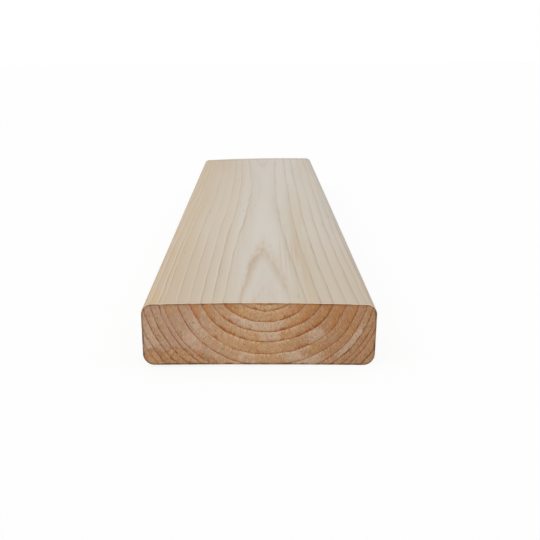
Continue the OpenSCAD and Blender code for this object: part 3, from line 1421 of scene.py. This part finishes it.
# %% Join the faces
here = np.arange(around)
beside = (here + 1) % around
wall = np.concatenate([
    np.stack([a + here, b + here, b + beside, a + beside], axis=1)
    for a, b in ((s * around, (s + 1) * around) for s in range(stations - 1))
])
near_grid = cap_numbers(here, len(wrap))
far_grid = cap_numbers(here + (stations - 1) * around, len(wrap) + len(caps[0][0]))


def grid_quads(grid):
    """The quads of a grid of vertex numbers, facing -Y."""
    corners = [grid[:-1, :-1], grid[:-1, 1:], grid[1:, 1:], grid[1:, :-1]]
    return np.stack(corners, axis=-1).reshape(-1, 4)


near_quads = grid_quads(near_grid)
far_quads = grid_quads(far_grid)[:, ::-1]
quads = np.vstack([wall, near_quads, far_quads])
mesh = bpy.data.meshes.new("Plank")
mesh.from_pydata((points * MM).tolist(), [], quads.tolist())
mesh.materials.append(face_wood)
mesh.materials.append(end_wood)
on_ends = np.arange(len(quads)) >= len(wall)
mesh.polygons.foreach_set("material_index", on_ends.astype(np.int32))
mesh.shade_smooth()
mesh.validate()
carried = mesh.attributes.new(GREEN_PLACE, "FLOAT_VECTOR", "POINT")
carried.data.foreach_set("vector", (green_points * MM).reshape(-1).astype(np.float32))
print(2 * len(quads), "triangles")

# %% [markdown]
# A map lays the surface out flat for tools that need pictures instead of nodes. The wall unrolls
# into one wide strip, its length squeezed a little because grain changes slowly that way, and the
# two ends stand beside it at a larger scale, because their rings are the finest thing to see.

# %% Lay out the map
MAP_MARGIN = 0.005
WALL_SHARE = 0.845
END_SHARE = 0.14

steps = np.linalg.norm(np.roll(outline, -1, axis=0) - outline, axis=1)
roll = np.concatenate([[0.0], np.cumsum(steps)]) / steps.sum()
wall_u = MAP_MARGIN + (WALL_SHARE - 2 * MAP_MARGIN) * roll
station_y = np.array([along.mean() for along in alongs])
station_v = np.clip((station_y + half_length) / (2 * half_length), 0, 1)
station_v = MAP_MARGIN + (1 - 2 * MAP_MARGIN) * station_v
quad_u = np.stack([wall_u[:-1], wall_u[:-1], wall_u[1:], wall_u[1:]], axis=1)
wall_map = np.concatenate([
    np.stack([quad_u, np.tile([low, top, top, low], (around, 1))], axis=-1)
    for low, top in zip(station_v, station_v[1:])
])


def end_map(quads, bottom):
    """Map places of an end's quads, turned on their side above this height of the map."""
    across, upward = points[quads][..., 0], points[quads][..., 2]
    v = bottom + (across / (2 * half_width) + 0.5) * (0.5 - 2 * MAP_MARGIN)
    u = WALL_SHARE + MAP_MARGIN + upward / thickness * (END_SHARE - MAP_MARGIN)
    return np.stack([u, v], axis=-1)


near_map = end_map(near_quads, MAP_MARGIN)
far_map = end_map(far_quads, 0.5 + MAP_MARGIN)
places = np.concatenate([wall_map, near_map, far_map])
layer = mesh.uv_layers.new(name="OFBake")
layer.uv.foreach_set("vector", places.reshape(-1).astype(np.float32))
print("map covers", places.reshape(-1, 2).min(axis=0), "to", places.reshape(-1, 2).max(axis=0))

# %% [markdown]
# The finished mesh stands for the imported solid: it rides on the same body, and the plain solid is
# hidden.

# %% Stand for the solid
plank = bpy.data.objects.new("plank_timber", mesh)
bpy.context.scene.collection.objects.link(plank)
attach(plank, "root")
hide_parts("plank")
print(plank.name, "stands for the solid")

# %% [markdown]
# The plank lies on a plain white floor. A brighter lamp could bleach a floor to white, but it would
# bleach the plank too. So the floor is mostly a glow that shows only to rays that look straight at
# it or see it mirrored. It adds no soft light to the plank, and the floor still takes a faint shadow.

# %% Floor
FLOOR_SIZE = 20.0
FLOOR_PALE = 0.95
FLOOR_GLOW = 0.88


def seen_directly(tree):
    """1 for rays that look straight at a surface, or at its reflection or through glass."""
    path = tree.nodes.new("ShaderNodeLightPath")
    camera_ray, glossy, clear = (
        Wire(tree, path.outputs[label])
        for label in ("Is Camera Ray", "Is Glossy Ray", "Is Transmission Ray"))
    return camera_ray.maths("MAXIMUM", glossy).maths("MAXIMUM", clear)


def shader_mix(tree, share, first, second, output):
    """Ends a tree with the first shader where share is 0 and the second where it is 1."""
    node = tree.nodes.new("ShaderNodeMixShader")
    plug(tree, share, node.inputs[0])
    tree.links.new(first.outputs[0], node.inputs[1])
    tree.links.new(second.outputs[0], node.inputs[2])
    tree.links.new(node.outputs[0], output.inputs["Surface"])


floor_look = bpy.data.materials.new("Floor")
floor_look.use_nodes = True
tree = floor_look.node_tree
tree.nodes.remove(tree.nodes["Principled BSDF"])
matt = tree.nodes.new("ShaderNodeBsdfDiffuse")
matt.inputs["Color"].default_value = (FLOOR_PALE, FLOOR_PALE, FLOOR_PALE, 1.0)
glow = tree.nodes.new("ShaderNodeEmission")
shader_mix(tree, seen_directly(tree) * FLOOR_GLOW, matt, glow, tree.nodes["Material Output"])

floor_mesh = bpy.data.meshes.new("Floor")
reach = FLOOR_SIZE / 2
floor_mesh.from_pydata([(-reach, -reach, 0), (reach, -reach, 0), (reach, reach, 0), (-reach, reach, 0)],
                       [], [(0, 1, 2, 3)])
floor_mesh.materials.append(floor_look)
floor = bpy.data.objects.new("floor", floor_mesh)
bpy.context.scene.collection.objects.link(floor)
print("floor of", FLOOR_SIZE, "m")

# %% [markdown]
# The light is that of a plain studio. A dome that is brighter overhead than at the horizon lights
# the top a little more than the end, and one wide, soft sun gives the light a side. To rays that
# look straight at it, the sky is plain white, as with the floor.

# %% Dome and sun
WHITE = (1.0, 1.0, 1.0, 1.0)
DOME_HORIZON = 0.5
DOME_ZENITH = 0.95
SUN_STRENGTH = 0.55
SUN_SOFTNESS = math.radians(70)
SUN_TILT = math.radians(32)
SUN_TURN = math.radians(-35)

world = bpy.data.worlds.new("Dome")
bpy.context.scene.world = world
world.use_nodes = True
tree = world.node_tree
dome = tree.nodes["Background"]
white = tree.nodes.new("ShaderNodeBackground")
direction = Wire(tree, tree.nodes.new("ShaderNodeTexCoord").outputs["Generated"])
upward = direction.split()[2]
plug(tree, eased(upward, 0.0, 1.0, DOME_HORIZON, DOME_ZENITH), dome.inputs["Strength"])
dome.inputs["Color"].default_value = WHITE
white.inputs["Color"].default_value = WHITE
shader_mix(tree, seen_directly(tree), dome, white, tree.nodes["World Output"])

sun_data = bpy.data.lights.new("Sun", "SUN")
sun_data.energy = SUN_STRENGTH
sun_data.angle = SUN_SOFTNESS
sun = bpy.data.objects.new("Sun", sun_data)
sun.rotation_euler = (SUN_TILT, 0.0, SUN_TURN)
bpy.context.scene.collection.objects.link(sun)
bpy.context.scene.view_settings.view_transform = "Standard"
print("dome and sun are set")
